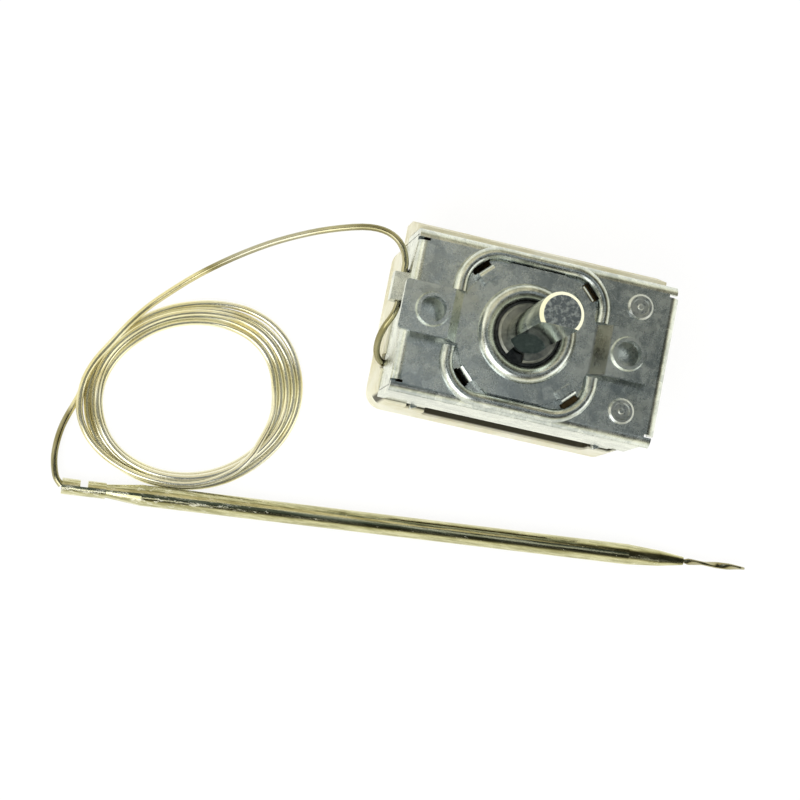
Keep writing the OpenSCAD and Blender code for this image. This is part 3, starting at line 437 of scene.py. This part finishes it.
def between(stations, angle):  # inset and layer at an angle, smooth through the stations
    last = len(stations) - 1
    k = max(i for i in range(last) if stations[i][0] <= angle)
    before, here, there, after = (stations[max(0, min(last, k + i))] for i in (-1, 0, 1, 2))
    span = there[0] - here[0]
    t = (angle - here[0]) / span
    values = []
    for i in (1, 2):
        leave = (there[i] - before[i]) / (there[0] - before[0]) * span
        arrive = (after[i] - here[i]) / (after[0] - here[0]) * span
        values.append(here[i] * (1 + 2 * t) * (1 - t) ** 2 + leave * t * (1 - t) ** 2
                      + there[i] * t * t * (3 - 2 * t) + arrive * t * t * (t - 1))
    return values


def coilLine(c):
    diameter = 2 * c["radius"] / millimetre
    turn = math.radians(c["coilTurn"])
    first, final = c["stations"][0][0], c["stations"][-1][0]
    steps = round((final - first) / 360 * c["pointsPerTurn"])
    line = []
    for step in range(steps + 1):
        degrees = first + (final - first) * step / steps
        inset, layer = between(c["stations"], degrees)
        x, y = ((half - diameter * (0.5 + inset)) * f(math.radians(degrees))
                for half, f in zip(c["coilHalves"], (math.cos, math.sin)))
        line.append((c["coilAt"][0] + x * math.cos(turn) - y * math.sin(turn),
                     c["coilAt"][1] + x * math.sin(turn) + y * math.cos(turn),
                     c["tableZ"] + diameter * (0.5 + max(0, layer))))
    return line


def toFrame(points):
    return [Vector((x, y, z + capillary["plateZ"])) * millimetre for x, y, z in points]


freeRoute = capillary["lead"] + coilLine(capillary) + capillary["tail"]
freeLine = smoothLine(toFrame(freeRoute), capillary["freeSteps"])
freeTube = tubeAlong("capillary", freeLine, capillary["radius"], capillary["sides"],
                     finishes["capillary_metal"])
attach(freeTube, "frame")
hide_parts("capillary_tube", "capillary_coil", "capillary_tail")
heldLine = smoothLine(toFrame(capillary["held"]), capillary["heldSteps"])
heldTube = tubeAlong("capillaryHeld", heldLine, capillary["radius"], capillary["sides"],
                     finishes["capillary_metal"])
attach(heldTube, "frame")
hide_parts("capillary_lead")

# Pinched stem that seals the bulb: a flat strip with a twist
sealStem = {
    "way": (0.995884, 0.090633, 0),  # the bulb's axis
    "width": 0.95 * millimetre, "thickness": 0.55 * millimetre,
    "twist": 290, "pinches": 3, "pinchDepth": 0.16,
    "endWidth": 0.55, "endSlope": 6,  # narrower at both ends, widening along its length
    "sections": 60, "sides": 16, "squareness": 3.2,
}


def twistedStem(name, c, material):
    low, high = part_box("seal_stem")
    way = Vector(c["way"])
    side = Vector((-way.y, way.x, 0))
    half = (high.x - low.x) / 2 / way.x - c["width"] * 0.05
    middle = (low + high) / 2
    power = 2 / c["squareness"]
    points = []
    for i in range(c["sections"] + 1):
        share = i / c["sections"]
        turn = math.radians(c["twist"]) * share
        taper = min(1, c["endWidth"] + c["endSlope"] * min(share, 1 - share))
        pinch = 1 - c["pinchDepth"] * math.sin(math.pi * c["pinches"] * share) ** 2
        for k in range(c["sides"]):
            angle = 2 * math.pi * k / c["sides"]
            across, up = math.cos(angle), math.sin(angle)
            across = math.copysign(abs(across) ** power, across) * c["width"] / 2 * taper
            up = math.copysign(abs(up) ** power, up) * c["thickness"] / 2 * taper * pinch
            points.append(middle + way * half * (2 * share - 1)
                          + side * (across * math.cos(turn) - up * math.sin(turn))
                          + Vector((0, 0, across * math.sin(turn) + up * math.cos(turn))))
    n = c["sides"]
    faces = [(i * n + k, i * n + (k + 1) % n, (i + 1) * n + (k + 1) % n, (i + 1) * n + k)
             for i in range(c["sections"]) for k in range(n)]
    faces += [tuple(reversed(range(n))), tuple(c["sections"] * n + k for k in range(n))]
    mesh = bpy.data.meshes.new(name)
    mesh.from_pydata(points, [], faces)
    mesh.shade_smooth()
    mesh.materials.append(material)
    piece = bpy.data.objects.new(name, mesh)
    bpy.context.scene.collection.objects.link(piece)
    return piece


stemPiece = twistedStem("sealStem", sealStem, finishes["capillary_metal"])
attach(stemPiece, "frame")
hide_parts("seal_stem")

freeLength = sum((b - a).length for a, b in zip(freeLine, freeLine[1:]))
print("capillary laid:", round(freeLength, 4), "m")


# Stage: pale floor, soft studio light
stage = {
    "floorSize": 3, "floorWhite": 0.92, "worldDiffuse": 0.52,
    "seenWhite": 1.07, "seenShare": 0.8,  # floor as the camera sees it; the rest keeps the shadow
    "mirrorTint": (1, 0.985, 0.86, 1), "mirrorGlow": 1.25, "mirrorShare": 0.85,  # as metal sees it
}
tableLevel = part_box("ceramic_base")[0].z
floorMesh = bpy.data.meshes.new("floor")
half = stage["floorSize"] / 2
floorMesh.from_pydata([(-half, -half, tableLevel), (half, -half, tableLevel),
                       (half, half, tableLevel), (-half, half, tableLevel)], [], [(0, 1, 2, 3)])
floor = bpy.data.objects.new("floor", floorMesh)
bpy.context.scene.collection.objects.link(floor)
floorFinish = Finish("paleFloor")
seenByCamera = floorFinish.add("ShaderNodeLightPath", output="Is Camera Ray")
seenInMetal = floorFinish.add("ShaderNodeLightPath", output="Is Glossy Ray")
matte = floorFinish.add("ShaderNodeBsdfDiffuse", None,
                        {"Color": (stage["floorWhite"],) * 3 + (1,)})
glow = floorFinish.add("ShaderNodeEmission", None,
                       {"Color": stage["mirrorTint"], "Strength": stage["mirrorGlow"]})
white = floorFinish.add("ShaderNodeEmission", None,
                        {"Color": (1, 1, 1, 1), "Strength": stage["seenWhite"]})
mixed = floorFinish.add("ShaderNodeMixShader", None,
                        {0: seenByCamera * stage["seenShare"], 1: matte, 2: white})
mixed = floorFinish.add("ShaderNodeMixShader", None,
                        {0: seenInMetal * stage["mirrorShare"], 1: mixed, 2: glow})
floorMesh.materials.append(floorFinish.show(mixed))


# Lamps: where each one stands as seen from the part, its distance, size and brightness
lamps = {
    "keyPanel": {"way": (-0.38, -0.6, 0.7), "far": 0.55, "size": (0.42, 0.42), "glow": 2.8,
                 "colour": (1, 1, 0.97)},
    "backPanel": {"way": (-0.16, 0.52, 0.84), "far": 0.6, "size": (0.44, 0.36), "glow": 0.85,
                  "colour": (1, 0.9, 0.62)},
    "topStrip": {"way": (0.17, 0.08, 0.98), "far": 0.7, "size": (0.5, 0.05), "glow": 0.8,
                 "colour": (1, 1, 1)},
    "leftPanel": {"way": (-0.72, 0.2, 0.66), "far": 0.6, "size": (0.3, 0.3), "glow": 1.2,
                  "colour": (1, 0.97, 0.82)},
    "rightPanel": {"way": (0.8, -0.25, 0.5), "far": 0.6, "size": (0.3, 0.3), "glow": 1.2,
                   "colour": (0.96, 0.98, 1)},
}
for name, lamp in lamps.items():
    data = bpy.data.lights.new(name, "AREA")
    data.shape, data.size, data.size_y = "RECTANGLE", lamp["size"][0], lamp["size"][1]
    data.energy = lamp["glow"] * math.pi * lamp["size"][0] * lamp["size"][1]
    data.color = lamp["colour"]
    holder = bpy.data.objects.new(name, data)
    way = Vector(lamp["way"]).normalized()
    holder.location = way * lamp["far"]
    holder.rotation_euler = way.to_track_quat("Z", "Y").to_euler()
    bpy.context.scene.collection.objects.link(holder)

world = bpy.data.worlds.new("studio")
bpy.context.scene.world = world
world.use_nodes = True
sky = world.node_tree
sky.nodes.clear()


def skyNode(kind, settings=None, values=None):
    node = sky.nodes.new(kind)
    for key, value in (settings or {}).items():
        setattr(node, key, value)
    for key, value in (values or {}).items():
        if isinstance(value, bpy.types.NodeSocket):
            sky.links.new(value, node.inputs[key])
        else:
            node.inputs[key].default_value = value
    return node


skyBands = [  # what the metal mirrors, by the sine of its elevation
    (0.0, (1.15, 1.13, 0.95)), (0.36, (1.1, 1.07, 0.84)), (0.54, (0.55, 0.52, 0.34)),
    (0.68, (0.07, 0.065, 0.04)), (0.88, (0.03, 0.031, 0.022)), (0.945, (0.06, 0.072, 0.067)),
    (0.964, (0.085, 0.112, 0.11)), (0.98, (0.135, 0.172, 0.176)), (1.0, (0.135, 0.172, 0.176)),
]
skyPath = skyNode("ShaderNodeLightPath")
height = skyNode("ShaderNodeSeparateXYZ", None,
                 {"Vector": skyNode("ShaderNodeTexCoord").outputs["Generated"]}).outputs["Z"]
band = skyNode("ShaderNodeValToRGB", None, {"Fac": height})
stops = band.color_ramp.elements
while len(stops) < len(skyBands):
    stops.new(0.5)
for stop, (at, colour) in zip(stops, skyBands):
    stop.position, stop.color = at, (*colour, 1)
seen = skyNode("ShaderNodeMath", {"operation": "MAXIMUM"},
               {0: skyPath.outputs["Is Camera Ray"], 1: skyPath.outputs["Is Transmission Ray"]})
plain = skyNode("ShaderNodeBackground", None,
                {"Color": (1, 1, 1, 1), "Strength": stage["worldDiffuse"]})
clean = skyNode("ShaderNodeBackground", None, {"Color": (1, 1, 1, 1), "Strength": 1})
mirror = skyNode("ShaderNodeBackground", None, {"Color": band.outputs["Color"], "Strength": 1})
first = skyNode("ShaderNodeMixShader", None, {0: skyPath.outputs["Is Glossy Ray"],
                                              1: plain.outputs[0], 2: mirror.outputs[0]})
last = skyNode("ShaderNodeMixShader", None,
               {0: seen.outputs[0], 1: first.outputs[0], 2: clean.outputs[0]})
skyNode("ShaderNodeOutputWorld", None, {"Surface": last.outputs[0]})
bpy.context.scene.view_settings.view_transform = "Standard"
print("stage set")
